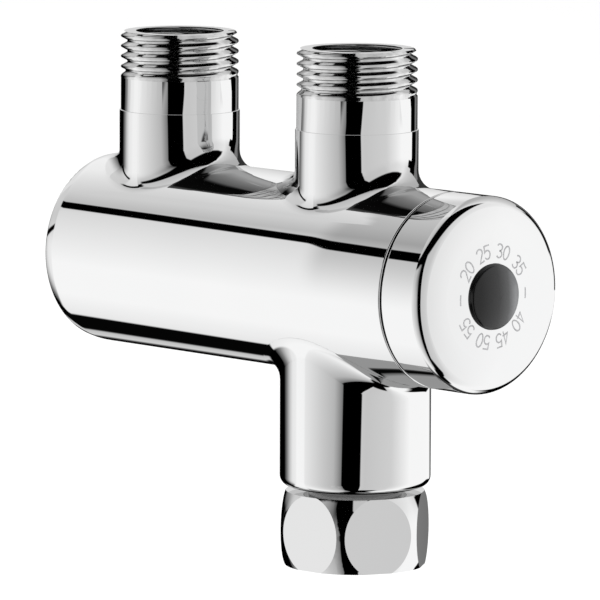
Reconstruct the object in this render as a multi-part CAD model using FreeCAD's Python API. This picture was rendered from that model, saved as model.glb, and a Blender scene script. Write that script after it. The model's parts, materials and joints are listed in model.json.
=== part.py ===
import FreeCAD, Part
import math
import os

os.makedirs("parts", exist_ok=True)

# Thermostatic mixing valve, in millimetres.
# The barrel lies along X with the control cap at its +X end. Two male inlets point up,
# hot at -X and cold at x = 0. The outlet with its union nut points down at x = 0.
# z = 0 is where the thread of the union nut begins.

# Driving dimensions: shell
barrel_d = 34.0
end_past_inlet = 17.5      # closed end, measured from the hot inlet's axis
barrel_mouth = 22.8        # seam to the cap, measured from the outlet axis
crown_r = 12.0             # the barrel's outline bends in towards the closed end
crown_turn = 12.0          # degrees by which it bends before the edge
end_round = 0.7
thread_major_d = 20.955    # half inch pipe thread
thread_minor_d = 18.631
thread_pitch = 1.814
thread_crest = 0.3
thread_turns = 4
rim_chamfer = 0.6
inlet_spacing = 45.0
inlet_rim_h = 40.0         # rim above the barrel axis
root_top_h = 26.0          # top of the cast root above the barrel axis
root_step = 0.22
root_fillet = 5.0
boss_d = 26.3
boss_drop = 36.2           # lower face of the boss below the barrel axis
boss_round = 1.8
boss_fillet = 3.0

# Driving dimensions: union nut
nut_af = 24.0
nut_h = 13.0
nut_lead_in = 1.0
nut_lip_t = 2.5
nut_thread_l = 6.2
nut_relief_r = 9.6
nut_waist_r = 13.45        # corners, turned off to a barrel shape
nut_arc_r = 17.2           # arc of that shape
nut_waist_drop = 0.2       # widest place, below the middle of the nut
nut_turn = 5.0             # first corner, degrees from +X
swivel_gap = 0.9

# Driving dimensions: control cap
seam_gap = 0.45
seam_round = 0.3
cap_straight = 7.4
cap_round = 2.0
cap_shoulder_r = 40.0      # arc between the rounded edge and the dome
cap_shoulder_tilt = 9.0    # tilt of the face where that arc begins, degrees
cap_dome_tilt = 3.0        # tilt of the face where the dome begins, degrees
cap_wall = 2.4
cap_plate_t = 4.9
plug_d = 11.3
plug_proud = 1.7           # middle of the plug above the cap's face
plug_round = 0.6
plug_bulge = 1.0
plug_skirt_t = 1.0

# Driving dimensions: cavities
end_wall = 4.0
hot_bore_r = 11.0
cart_bore_r = 12.5
cart_left = -16.0
cart_right = 14.0
mouth_r = 14.0
stub_bore_r = 7.8
stub_floor_h = 16.5
hot_port_r = 5.0
cold_port_x = 4.6
cold_port_r = 2.8
mixed_port_x = -4.8
mixed_port_r = 3.0
boss_bore_r = 9.0

# Clearances
fit = 0.05                 # radial running clearance
play = 0.05                # axial play of turning pieces
touch = 0.01               # gap left round a compressed seal

# Cartridge
sleeve_flange_t = 3.0
sleeve_nose_r = 10.4
sleeve_nose_len = 11.0
sleeve_wall = 2.0
sleeve_bore_r = 8.5
groove_depth = 1.55
groove_w = 1.9
annulus_depth = 1.45
annulus_near = 1.8
annulus_far = 8.2
seal_left_x = -12.0
seal_right_x = 11.0
seat_ring_t = 1.5
seat_hole_r = 6.0
metering_gap = 0.6
cold_seat_x = 4.0
window_mixed_near = 3.2
window_mixed_far = 8.0
shuttle_bore_r = 6.6
shuttle_groove_depth = 1.0
shuttle_groove_w = 1.3
shuttle_seal_left_x = -11.0
shuttle_seal_right_x = -0.6
web_x = -15.6
web_t = 1.6
wax_tail_r = 2.95
wax_flange_r = 4.6
wax_flange_t = 1.2
wax_body_r = 3.8
wax_body_end = -3.0
wax_neck_r = 2.6
wax_neck_end = 2.0
piston_r = 1.5
piston_left = -2.4
piston_room = 1.6
seat_plug_len = 5.0
plug_seal_x = 7.2
clip_t = 0.9
clip_gap = 4.0
piston_seal_w = 1.6
return_wire_r = 0.45
return_coil_r = 5.0
return_turns = 6.0

# Adjusting gear
adjuster_left = 11.9
adjuster_disc_t = 2.5
adjuster_lip_t = 0.7
adjuster_lip_r = 3.4
adjuster_stem_r = 5.0
adjuster_bore_r = 4.1
adjuster_stem_end = 23.0
adjuster_floor_t = 1.5
lug_w = 3.0
lug_r = 9.6
travel = 0.65
pad_t = 1.4
overload_wire_r = 0.4
overload_coil_r = 3.3
overload_turns = 7.0
collar_r = 9.8
collar_t = 1.9
journal_r = 6.8
journal_end = 26.0
spindle_groove_x = 21.9
spindle_groove_w = 1.5
spindle_groove_depth = 1.0
drive_af = 7.6
drive_end = 29.3
bonnet_nose_r = 9.5
bonnet_end = 25.5
stop_r = 11.5
stop_half_angle = 12.0
knob_stop_half_angle = 18.0
hub_r = 8.2
hub_floor_x = 29.8
recess_floor_x = 30.6
screw_r = 1.95
screw_head_r = 3.4
screw_head_t = 1.4
screw_tip_x = 25.2

# Inlet cartridges
housing_h = 12.0
housing_plate_t = 1.6
housing_bore_r = 6.0
housing_seat_r = 4.4
housing_seat_h = 8.6
housing_groove_h = 6.0
housing_groove_w = 1.4
housing_groove_depth = 1.0
hub_top_h = 4.2
poppet_r = 5.2
poppet_t = 1.6
stem_r = 1.2
stem_foot_h = 2.6
check_wire_r = 0.3
check_coil_r = 2.9
check_turns = 5.0
strainer_h = 3.5
strainer_plate_t = 0.8
strainer_bore_r = 6.6
strainer_hole_r = 0.7

# Springs
coil_steps = 20            # straight lengths of wire in a turn
wire_sides = 8
closed_turn_rise = 2.2     # rise of an end turn over the wire's radius

# Outlet tail
tail_depth = 13.7          # length inside the boss
tail_neck_r = 8.1
tail_bore_r = 6.0
tail_flange_r = 9.4
tail_flange_t = 1.6
tail_groove_below = 2.2    # seal groove, measured from the tail's top
tail_groove_w = 1.7
tail_groove_depth = 1.3
washer_t = 1.6

# Values that follow from the sizes above
barrel_r = barrel_d / 2.0
barrel_end = inlet_spacing + end_past_inlet
thread_r = thread_major_d / 2.0
minor_r = thread_minor_d / 2.0
thread_flank = thread_pitch / 2.0 - thread_crest
root_r = thread_r + root_step
boss_r = boss_d / 2.0
nut_low = -nut_lead_in
nut_top = nut_low + nut_h
lip_low = nut_top - nut_lip_t
boss_low = nut_top + swivel_gap
axis_h = boss_low + boss_drop
rim_z = axis_h + inlet_rim_h
sleeve_r = cart_bore_r - fit
sleeve_right = cart_right + sleeve_flange_t
nose_left = cart_left - sleeve_nose_len
nose_floor = nose_left + sleeve_wall
hot_seat_x = nose_floor + seat_ring_t
shuttle_r = sleeve_bore_r - fit
shuttle_left = hot_seat_x + metering_gap
shuttle_right = cold_seat_x - metering_gap
plug_right = cold_seat_x + seat_plug_len
pad_left = adjuster_left + adjuster_lip_t
pad_right = pad_left + pad_t
spring_floor = adjuster_stem_end - adjuster_floor_t
collar_left = sleeve_right + play
collar_right = collar_left + collar_t
bonnet_shoulder = collar_right + play
cap_left = barrel_mouth + seam_gap
cap_edge = cap_left + cap_straight
shoulder_turn = math.radians(cap_shoulder_tilt)
dome_turn = math.radians(cap_dome_tilt)
shoulder_x = cap_edge - (cap_shoulder_r - cap_round) * math.cos(shoulder_turn)
shoulder_mid_r = barrel_r - cap_round - (cap_shoulder_r - cap_round) * math.sin(shoulder_turn)
dome_r = cap_shoulder_r + shoulder_mid_r / math.sin(dome_turn)
dome_x = shoulder_x - (dome_r - cap_shoulder_r) * math.cos(dome_turn)
cap_apex = dome_x + dome_r
cap_bore_r = barrel_r - cap_wall
cap_plate_x = cap_apex - cap_plate_t
plug_r = plug_d / 2.0
housing_r = stub_bore_r - fit
housing_z = axis_h + stub_floor_h
strainer_z = housing_z + housing_h
tail_r = boss_bore_r - fit
tail_top = boss_low + tail_depth
tail_groove_z = tail_top - tail_groove_below
boss_bore_top = axis_h - barrel_r - 0.5
flange_top = lip_low - play
flange_low = flange_top - tail_flange_t

X = FreeCAD.Vector(1, 0, 0)
Y = FreeCAD.Vector(0, 1, 0)
Z = FreeCAD.Vector(0, 0, 1)


def at(x, y, z):
    return FreeCAD.Vector(x, y, z)


def on_axis(x):
    return at(x, 0, axis_h)


def turned_x(outline):
    """Solid of revolution about the barrel axis from (x, radius) points."""
    pts = [at(x, 0, axis_h + r) for x, r in outline]
    face = Part.Face(Part.makePolygon(pts + [pts[0]]))
    return face.revolve(on_axis(0), X, 360)


def turned_z(outline, x=0.0):
    """Solid of revolution about an upright axis at x from (z, radius) points."""
    pts = [at(x + r, 0, z) for z, r in outline]
    face = Part.Face(Part.makePolygon(pts + [pts[0]]))
    return face.revolve(at(x, 0, 0), Z, 360)


def rod_x(r, x0, x1):
    return Part.makeCylinder(r, x1 - x0, on_axis(x0), X)


def rod_z(r, z0, z1, x=0.0, y=0.0):
    return Part.makeCylinder(r, z1 - z0, at(x, y, z0), Z)


def tube_x(ro, ri, x0, x1):
    return turned_x([(x0, ri), (x0, ro), (x1, ro), (x1, ri)])


def tube_z(ro, ri, z0, z1, x=0.0):
    return turned_z([(z0, ri), (z0, ro), (z1, ro), (z1, ri)], x)


def seal_x(x, r_in, r_out):
    """Round-section seal lying between two radii about the barrel axis."""
    return Part.makeTorus((r_in + r_out) / 2.0, (r_out - r_in) / 2.0 - touch, on_axis(x), X)


def seal_z(z, r_in, r_out, x=0.0):
    """Round-section seal lying between two radii about an upright axis."""
    return Part.makeTorus((r_in + r_out) / 2.0, (r_out - r_in) / 2.0 - touch, at(x, 0, z), Z)


def turn_about_barrel(shape, angle):
    copy = shape.copy()
    copy.rotate(on_axis(0), X, angle)
    return copy


def windows_x(count, width, x0, x1, r0, r1, first=0.0):
    """Ring of radial windows through a tube about the barrel axis."""
    one = Part.makeBox(x1 - x0, width, r1 - r0, at(x0, -width / 2.0, axis_h + r0))
    ring = [turn_about_barrel(one, first + 360.0 * i / count) for i in range(count)]
    return Part.makeCompound(ring)


def hexagon_x(af, x0, x1):
    corner = af / math.sqrt(3.0)
    angles = [math.radians(60.0 * i) for i in range(7)]
    pts = [at(x0, corner * math.sin(a), axis_h + corner * math.cos(a)) for a in angles]
    return Part.Face(Part.makePolygon(pts)).extrude(at(x1 - x0, 0, 0))


def hexagon_z(af, z0, z1, first=0.0):
    corner = af / math.sqrt(3.0)
    angles = [math.radians(first + 60.0 * i) for i in range(7)]
    pts = [at(corner * math.cos(a), corner * math.sin(a), z0) for a in angles]
    return Part.Face(Part.makePolygon(pts)).extrude(at(0, 0, z1 - z0))


def sector_x(r0, r1, x0, x1, middle, half):
    """Block of a ring about the barrel axis, round the angle counted from +Z."""
    start = tube_x(r1, r0, x0, x1)
    reach = 3.0 * r1
    a = math.radians(half)
    wedge_pts = [
        at(x0 - 1.0, 0, axis_h),
        at(x0 - 1.0, reach * math.sin(a), axis_h + reach * math.cos(a)),
        at(x0 - 1.0, -reach * math.sin(a), axis_h + reach * math.cos(a)),
    ]
    wedge = Part.Face(Part.makePolygon(wedge_pts + [wedge_pts[0]])).extrude(at(x1 - x0 + 2.0, 0, 0))
    return turn_about_barrel(start.common(wedge), middle)


def coil(length, coil_r, wire_r, turns):
    """Compression spring standing on z = 0 about the Z axis, with closed end turns.

    The wire runs in short straight lengths with a many-sided section."""
    closed = closed_turn_rise * wire_r
    pitch = (length - 2.0 * wire_r - 2.0 * closed) / (turns - 2.0)
    rings = []
    for i in range(int(turns * coil_steps) + 1):
        t = i / coil_steps
        z = wire_r + closed * min(t, 1.0) + pitch * max(0.0, min(t - 1.0, turns - 2.0))
        z += closed * max(0.0, t - turns + 1.0)
        rings.append(wire_ring(2.0 * math.pi * t, z, coil_r, wire_r))
    faces = [polygon_face(rings[0]), polygon_face(rings[-1])]
    for low, high in zip(rings, rings[1:]):
        for k in range(wire_sides):
            j = (k + 1) % wire_sides
            faces.append(polygon_face([low[k], low[j], high[j]]))
            faces.append(polygon_face([low[k], high[j], high[k]]))
    return Part.makeSolid(Part.makeShell(faces))


def wire_ring(angle, z, coil_r, wire_r):
    """Corners of the wire's section where the coil has reached an angle and a height."""
    ring = []
    for k in range(wire_sides):
        b = 2.0 * math.pi * (k + 0.5) / wire_sides
        r = coil_r + wire_r * math.cos(b)
        ring.append(at(r * math.cos(angle), r * math.sin(angle), z + wire_r * math.sin(b)))
    return ring


def polygon_face(points):
    return Part.Face(Part.makePolygon(points + [points[0]]))


def arc_x(x, middle_r, r, start, end):
    """Arc in the XZ half plane above the barrel axis, its angles counted from +X towards +Z."""
    points = []
    for angle in (start, (start + end) / 2.0, end):
        points.append(at(x + r * math.cos(angle), 0, axis_h + middle_r + r * math.sin(angle)))
    return Part.Arc(*points).toShape()


def save(name, shape):
    solids = shape.Solids
    clean = solids[0] if len(solids) == 1 else Part.makeCompound(solids)
    clean.exportStep("parts/" + name + ".step")


# Shell

def inlet_outside(x):
    """Inlet with its slightly wider cast root. Its thread is drawn as separate grooves."""
    root = rod_z(root_r, axis_h, axis_h + root_top_h, x)
    outline = [(axis_h, 0), (axis_h, thread_r)]
    for i in range(thread_turns):
        groove_top = rim_z - rim_chamfer - thread_crest - (thread_turns - 1 - i) * thread_pitch
        outline += [
            (groove_top - thread_pitch + thread_crest, thread_r),
            (groove_top - thread_flank - thread_crest, minor_r),
            (groove_top - thread_flank, minor_r),
            (groove_top, thread_r),
        ]
    outline += [
        (rim_z - rim_chamfer, thread_r),
        (rim_z, thread_r - rim_chamfer),
        (rim_z, 0),
    ]
    return root, turned_z(outline, x)


def barrel_outside():
    """Barrel whose closed end bends in gently before a small rounded edge."""
    upright = math.pi / 2.0
    bend = upright + math.radians(crown_turn)
    tip_x = -barrel_end + end_round
    tip_mid_r = barrel_r - crown_r + (crown_r - end_round) * math.sin(bend)
    bend_x = tip_x - (crown_r - end_round) * math.cos(bend)
    outline = [
        Part.makeLine(on_axis(barrel_mouth), at(barrel_mouth, 0, axis_h + barrel_r - seam_round)),
        arc_x(barrel_mouth - seam_round, barrel_r - seam_round, seam_round, 0.0, upright),
        Part.makeLine(at(barrel_mouth - seam_round, 0, axis_h + barrel_r), at(bend_x, 0, axis_h + barrel_r)),
        arc_x(bend_x, barrel_r - crown_r, crown_r, upright, bend),
        arc_x(tip_x, tip_mid_r, end_round, bend, math.pi),
        Part.makeLine(at(-barrel_end, 0, axis_h + tip_mid_r), on_axis(-barrel_end)),
        Part.makeLine(on_axis(-barrel_end), on_axis(barrel_mouth)),
    ]
    return Part.Face(Part.Wire(outline)).revolve(on_axis(0), X, 360)


def valve_body():
    barrel = barrel_outside()
    boss = rod_z(boss_r, boss_low, axis_h)
    hot_root, hot_shank = inlet_outside(-inlet_spacing)
    cold_root, cold_shank = inlet_outside(0.0)
    blank = barrel.fuse([hot_root, cold_root, boss]).removeSplitter()
    saddles_up = []
    saddles_down = []
    boss_rim = []
    for edge in blank.Edges:
        box = edge.BoundBox
        flat = box.ZLength < 0.01
        if flat and abs(box.ZMin - boss_low) < 0.01:
            boss_rim.append(edge)
        elif not flat and box.XLength > 1.0 and box.ZMin > axis_h and box.ZMax < axis_h + barrel_r + 0.1:
            saddles_up.append(edge)
        elif not flat and box.XLength > 1.0 and box.ZMax < axis_h and box.ZMin > axis_h - barrel_r - 0.1:
            saddles_down.append(edge)
    saddles_up = [e for e in saddles_up if e.BoundBox.YLength > 1.0]
    saddles_down = [e for e in saddles_down if e.BoundBox.YLength > 1.0]
    blank = blank.makeFillet(root_fillet, saddles_up)
    blank = round_edges(blank, boss_fillet, saddles_down)
    blank = round_edges(blank, boss_round, boss_rim)
    blank = blank.fuse([hot_shank, cold_shank])
    return blank.cut(body_cavities())


def round_edges(shape, radius, wanted):
    """Rounds the edges of the shape that lie where the wanted ones lay."""
    found = []
    for edge in shape.Edges:
        for old in wanted:
            near = edge.BoundBox.Center.distanceToPoint(old.BoundBox.Center) < 0.05
            if near and abs(edge.Length - old.Length) < 0.05:
                found.append(edge)
                break
    return shape.makeFillet(radius, found)


def body_cavities():
    lengthwise = turned_x([
        (-barrel_end + end_wall, 0),
        (-barrel_end + end_wall, hot_bore_r),
        (cart_left, hot_bore_r),
        (cart_left, cart_bore_r),
        (cart_right, cart_bore_r),
        (cart_right, mouth_r),
        (barrel_mouth + 1.0, mouth_r),
        (barrel_mouth + 1.0, 0),
    ])
    floor_z = axis_h + stub_floor_h
    cuts = [
        rod_z(stub_bore_r, floor_z, rim_z + 1.0, -inlet_spacing),
        rod_z(stub_bore_r, floor_z, rim_z + 1.0),
        rod_z(hot_port_r, axis_h, floor_z + 0.1, -inlet_spacing),
        rod_z(cold_port_r, axis_h, floor_z + 0.1, cold_port_x),
        rod_z(boss_bore_r, boss_low - 1.0, boss_bore_top),
        rod_z(mixed_port_r, boss_bore_top - 0.1, axis_h, mixed_port_x),
    ]
    return lengthwise.fuse(cuts)


def nut_outline_r(from_waist):
    """Radius of the nut's barrel shape at a height from its widest place."""
    return nut_waist_r - nut_arc_r + math.sqrt(nut_arc_r ** 2 - from_waist ** 2)


def union_nut():
    """Hexagon turned to a barrel shape, so that each flat is left as a disc."""
    waist_z = (nut_low + nut_top) / 2.0 - nut_waist_drop
    low_r = nut_outline_r(waist_z - nut_low)
    top_r = nut_outline_r(nut_top - waist_z)
    hexagon = hexagon_z(nut_af, nut_low, nut_top, nut_turn)
    waist = [
        Part.makeLine(at(0, 0, nut_low), at(low_r, 0, nut_low)),
        Part.Arc(at(low_r, 0, nut_low), at(nut_waist_r, 0, waist_z), at(top_r, 0, nut_top)).toShape(),
        Part.makeLine(at(top_r, 0, nut_top), at(0, 0, nut_top)),
        Part.makeLine(at(0, 0, nut_top), at(0, 0, nut_low)),
    ]
    turned = Part.Face(Part.Wire(waist)).revolve(at(0, 0, 0), Z, 360)
    hole = turned_z([
        (nut_low - 0.1, 0),
        (nut_low - 0.1, minor_r + nut_lead_in + 0.1),
        (0, minor_r),
        (nut_thread_l, minor_r),
        (nut_thread_l, nut_relief_r),
        (lip_low, nut_relief_r),
        (lip_low, tail_neck_r + fit),
        (nut_top + 0.1, tail_neck_r + fit),
        (nut_top + 0.1, 0),
    ])
    return hexagon.common(turned).cut(hole)


def outlet_tail():
    """Screwed into the boss. Its lower flange holds the nut so that it can turn."""
    low = tail_groove_z - tail_groove_w / 2.0
    high = tail_groove_z + tail_groove_w / 2.0
    body = turned_z([
        (flange_low, tail_bore_r),
        (flange_low, tail_flange_r),
        (flange_top, tail_flange_r),
        (flange_top, tail_neck_r),
        (boss_low, tail_neck_r),
        (boss_low, tail_r),
        (low, tail_r),
        (low, tail_r - tail_groove_depth),
        (high, tail_r - tail_groove_depth),
        (high, tail_r),
        (tail_top, tail_r),
        (tail_top, tail_bore_r),
    ])
    return body.cut(hexagon_z(2.0 * tail_bore_r, flange_low - 0.1, boss_low))


def tail_seal():
    return seal_z(tail_groove_z, tail_r - tail_groove_depth, boss_bore_r)


def outlet_washer():
    return tube_z(tail_flange_r - 0.1, tail_bore_r, flange_low - washer_t, flange_low)


# Inlet cartridges

def strainer(x):
    z = strainer_z
    cup = turned_z([
        (z, 0),
        (z, housing_r),
        (z + strainer_h, housing_r),
        (z + strainer_h, strainer_bore_r),
        (z + strainer_plate_t, strainer_bore_r),
        (z + strainer_plate_t, 0),
    ], x)
    holes = [rod_z(strainer_hole_r, z - 1.0, z + 2.0, x)]
    for count, ring in ((6, 0.33), (12, 0.67)):
        for i in range(count):
            a = 2.0 * math.pi * i / count
            r = ring * housing_seat_r * 1.15
            holes.append(rod_z(strainer_hole_r, z - 1.0, z + 2.0, x + r * math.cos(a), r * math.sin(a)))
    return cup.cut(Part.makeCompound(holes))


def check_housing(x):
    z = housing_z
    g0 = z + housing_groove_h - housing_groove_w / 2.0
    g1 = z + housing_groove_h + housing_groove_w / 2.0
    groove_r = housing_r - housing_groove_depth
    shell = turned_z([
        (z, stem_r + fit),
        (z, housing_r),
        (g0, housing_r),
        (g0, groove_r),
        (g1, groove_r),
        (g1, housing_r),
        (z + housing_h, housing_r),
        (z + housing_h, housing_seat_r + 0.8),
        (z + housing_h - 0.8, housing_seat_r),
        (z + housing_seat_h, housing_seat_r),
        (z + housing_seat_h, housing_bore_r),
        (z + housing_plate_t, housing_bore_r),
        (z + housing_plate_t, stem_r + 0.8),
        (z + hub_top_h, stem_r + 0.8),
        (z + hub_top_h, stem_r + fit),
    ], x)
    ring = (housing_bore_r + check_coil_r + check_wire_r) / 2.0
    hole_r = (housing_bore_r - check_coil_r - check_wire_r) / 2.0 - 0.1
    ports = []
    for i in range(8):
        a = 2.0 * math.pi * (i + 0.5) / 8.0
        ports.append(rod_z(hole_r, z - 1.0, z + housing_plate_t + 0.1, x + ring * math.cos(a), ring * math.sin(a)))
    return shell.cut(Part.makeCompound(ports))


def check_poppet(x):
    z = housing_z
    top = z + housing_seat_h
    return turned_z([
        (z + stem_foot_h, 0),
        (z + stem_foot_h, stem_r),
        (top - poppet_t, stem_r),
        (top - poppet_t, poppet_r),
        (top, poppet_r),
        (top, housing_seat_r - 0.4),
        (top + 1.0, housing_seat_r - 1.6),
        (top + 1.0, 0),
    ], x)


def check_spring(x):
    length = housing_seat_h - poppet_t - housing_plate_t
    wire = coil(length, check_coil_r, check_wire_r, check_turns)
    wire.translate(at(x, 0, housing_z + housing_plate_t))
    return wire


def check_seal(x):
    return seal_z(housing_z + housing_groove_h, housing_r - housing_groove_depth, stub_bore_r, x)


# Thermostatic cartridge

def cartridge_sleeve():
    outline = [
        (nose_left, 0),
        (nose_left, sleeve_nose_r),
        (cart_left, sleeve_nose_r),
        (cart_left, sleeve_r),
        (cart_right, sleeve_r),
        (cart_right, mouth_r - fit),
        (sleeve_right, mouth_r - fit),
        (sleeve_right, sleeve_bore_r),
        (nose_floor, sleeve_bore_r),
        (nose_floor, 0),
    ]
    body = turned_x(outline)
    cuts = []
    for x in (seal_left_x, 0.0, seal_right_x):
        cuts.append(groove_x(x, groove_w, sleeve_r, groove_depth))
    middle = (annulus_near + annulus_far) / 2.0
    width = annulus_far - annulus_near
    cuts.append(groove_x(-middle, width, sleeve_r, annulus_depth))
    cuts.append(groove_x(middle, width, sleeve_r, annulus_depth))
    body = body.cut(Part.makeCompound(cuts))
    body = body.cut(windows_x(4, 8.0, hot_seat_x, hot_seat_x + 3.0, sleeve_bore_r - 1.0, sleeve_nose_r + 1.0, 45.0))
    body = body.cut(windows_x(4, 7.0, -window_mixed_far, -window_mixed_near, sleeve_bore_r - 1.0, sleeve_r + 1.0))
    body = body.cut(windows_x(6, 5.0, annulus_near + 0.6, cold_seat_x, sleeve_bore_r - 1.0, sleeve_r + 1.0))
    clip_room = tube_x(sleeve_bore_r + 0.7, sleeve_bore_r - 1.0, plug_right, plug_right + clip_t + play)
    keyways = windows_x(2, lug_w + 2.0 * fit, plug_right + 2.0, sleeve_right + 0.1, sleeve_bore_r - 1.0, lug_r + 0.2)
    return body.cut(clip_room).cut(keyways)


def groove_x(x, width, r, depth):
    return tube_x(r + 1.0, r - depth, x - width / 2.0, x + width / 2.0)


def sleeve_seals():
    """Three equal seals that part the hot, mixed and cold water."""
    rings = [seal_x(x, sleeve_r - groove_depth, cart_bore_r) for x in (seal_left_x, 0.0, seal_right_x)]
    return Part.makeCompound(rings)


def hot_seat_ring():
    return turned_x([
        (nose_floor, seat_hole_r),
        (nose_floor, shuttle_r),
        (hot_seat_x, shuttle_r),
        (hot_seat_x, shuttle_bore_r),
        (hot_seat_x - 0.6, seat_hole_r),
    ])


def shuttle():
    """Sliding sleeve whose two rims meter the hot and the cold water."""
    tube = tube_x(shuttle_r, shuttle_bore_r, shuttle_left, shuttle_right)
    web = tube_x(shuttle_bore_r + 0.3, wax_tail_r + fit, web_x, web_x + web_t)
    body = tube.fuse(web)
    for x in (shuttle_seal_left_x, shuttle_seal_right_x):
        body = body.cut(groove_x(x, shuttle_groove_w, shuttle_r, shuttle_groove_depth))
    flow = []
    for i in range(6):
        a = math.radians(60.0 * i + 30.0)
        ring = (shuttle_bore_r + wax_flange_r) / 2.0
        centre = at(web_x - 1.0, ring * math.sin(a), axis_h + ring * math.cos(a))
        flow.append(Part.makeCylinder((shuttle_bore_r - wax_flange_r) * 0.4, web_t + 2.0, centre, X))
    body = body.cut(Part.makeCompound(flow))
    gate = windows_x(4, 6.0, -window_mixed_far, -window_mixed_near, shuttle_bore_r - 1.5, shuttle_r + 1.0)
    return body.cut(gate)


def shuttle_seals():
    rings = []
    for x in (shuttle_seal_left_x, shuttle_seal_right_x):
        rings.append(seal_x(x, shuttle_r - shuttle_groove_depth, sleeve_bore_r))
    return Part.makeCompound(rings)


def wax_element():
    flange_x = web_x + web_t
    return turned_x([
        (web_x, 0),
        (web_x, wax_tail_r),
        (flange_x, wax_tail_r),
        (flange_x, wax_flange_r),
        (flange_x + wax_flange_t, wax_flange_r),
        (flange_x + wax_flange_t, wax_body_r),
        (wax_body_end, wax_body_r),
        (wax_body_end, wax_neck_r),
        (wax_neck_end, wax_neck_r),
        (wax_neck_end, piston_r + fit),
        (piston_left - piston_room, piston_r + fit),
        (piston_left - piston_room, 0),
    ])


def wax_piston():
    return rod_x(piston_r, piston_left, pad_left)


def return_spring():
    wire = coil(web_x - nose_floor, return_coil_r, return_wire_r, return_turns)
    wire.rotate(at(0, 0, 0), Y, 90)
    wire.translate(on_axis(nose_floor))
    return wire


def seat_plug():
    """Closes the wet side. Its left face is the cold seat."""
    body = tube_x(shuttle_r, piston_r + fit, cold_seat_x, plug_right)
    body = body.cut(groove_x(plug_seal_x, groove_w * 0.7, shuttle_r, shuttle_groove_depth))
    half = groove_w * 0.45
    return body.cut(tube_x(piston_r + piston_seal_w, piston_r / 2.0, plug_seal_x - half, plug_seal_x + half))


def plug_seals():
    outer = seal_x(plug_seal_x, shuttle_r - shuttle_groove_depth, sleeve_bore_r)
    inner = seal_x(plug_seal_x, piston_r, piston_r + piston_seal_w)
    return Part.makeCompound([outer, inner])


def plug_clip():
    """Spring ring with a gap, which holds the seat plug in the sleeve."""
    ring = tube_x(sleeve_bore_r + 0.65, sleeve_bore_r - 1.4, plug_right, plug_right + clip_t)
    corner = at(plug_right - clip_t, -clip_gap / 2.0, axis_h)
    gap = Part.makeBox(3.0 * clip_t, clip_gap, 2.0 * sleeve_bore_r, corner)
    return ring.cut(gap)


# Adjusting gear

def adjuster():
    """Threaded cup. Two lugs stop it turning, so the spindle drives it along."""
    disc_right = adjuster_left + adjuster_disc_t
    cup = turned_x([
        (adjuster_left, adjuster_lip_r),
        (adjuster_left, shuttle_r),
        (disc_right, shuttle_r),
        (disc_right, adjuster_stem_r),
        (adjuster_stem_end, adjuster_stem_r),
        (adjuster_stem_end, 0),
        (spring_floor, 0),
        (spring_floor, adjuster_bore_r),
        (pad_left, adjuster_bore_r),
        (pad_left, adjuster_lip_r),
    ])
    lugs = windows_x(2, lug_w, adjuster_left, disc_right, sleeve_bore_r - 1.0, lug_r)
    return cup.fuse(lugs.Solids).removeSplitter()


def overload_pad():
    return rod_x(adjuster_bore_r - fit, pad_left, pad_right)


def overload_spring():
    wire = coil(spring_floor - pad_right, overload_coil_r, overload_wire_r, overload_turns)
    wire.rotate(at(0, 0, 0), Y, 90)
    wire.translate(on_axis(pad_right))
    return wire


def spindle():
    g0 = spindle_groove_x - spindle_groove_w / 2.0
    g1 = spindle_groove_x + spindle_groove_w / 2.0
    bore_end = adjuster_stem_end + travel + 0.35
    body = turned_x([
        (collar_left, adjuster_stem_r + fit),
        (collar_left, collar_r),
        (collar_right, collar_r),
        (collar_right, journal_r),
        (g0, journal_r),
        (g0, journal_r - spindle_groove_depth),
        (g1, journal_r - spindle_groove_depth),
        (g1, journal_r),
        (journal_end, journal_r),
        (journal_end, 0),
        (bore_end, 0),
        (bore_end, adjuster_stem_r + fit),
    ])
    body = body.fuse(hexagon_x(drive_af, journal_end - 0.1, drive_end))
    return body.cut(rod_x(screw_r + fit, screw_tip_x - 0.3, drive_end + 1.0))


def spindle_seal():
    return seal_x(spindle_groove_x, journal_r - spindle_groove_depth, journal_r + fit)


def bonnet():
    """Screwed into the mouth of the body. It holds the sleeve and the spindle."""
    body = turned_x([
        (sleeve_right, collar_r + fit),
        (sleeve_right, mouth_r - fit),
        (barrel_mouth, mouth_r - fit),
        (barrel_mouth, bonnet_nose_r),
        (bonnet_end, bonnet_nose_r),
        (bonnet_end, journal_r + fit),
        (bonnet_shoulder, journal_r + fit),
        (bonnet_shoulder, collar_r + fit),
    ])
    stop = sector_x(bonnet_nose_r - 0.5, stop_r, barrel_mouth - 0.5, bonnet_end, 180.0, stop_half_angle)
    sockets = []
    for angle in (60.0, 120.0, 240.0, 300.0):
        a = math.radians(angle)
        r = (mouth_r + bonnet_nose_r) / 2.0
        centre = at(barrel_mouth - 3.0, r * math.sin(a), axis_h + r * math.cos(a))
        sockets.append(Part.makeCylinder(1.2, 4.0, centre, X))
    return body.fuse(stop).cut(Part.makeCompound(sockets))


def cap_outline():
    """Outside of the cap: straight wall, rounded edge, shoulder, shallow dome."""
    upright = math.pi / 2.0
    back = arc_x(cap_left + seam_round, barrel_r - seam_round, seam_round, math.pi, upright)
    edge = arc_x(cap_edge, barrel_r - cap_round, cap_round, upright, shoulder_turn)
    shoulder = arc_x(shoulder_x, shoulder_mid_r, cap_shoulder_r, shoulder_turn, dome_turn)
    dome = arc_x(dome_x, 0.0, dome_r, dome_turn, 0.0)
    back_low = at(cap_left, 0, axis_h + barrel_r - seam_round)
    wall_start = at(cap_left + seam_round, 0, axis_h + barrel_r)
    return [
        Part.makeLine(on_axis(cap_left), back_low),
        back,
        Part.makeLine(wall_start, at(cap_edge, 0, axis_h + barrel_r)),
        edge,
        shoulder,
        dome,
        Part.makeLine(on_axis(cap_apex), on_axis(cap_left)),
    ]


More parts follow.
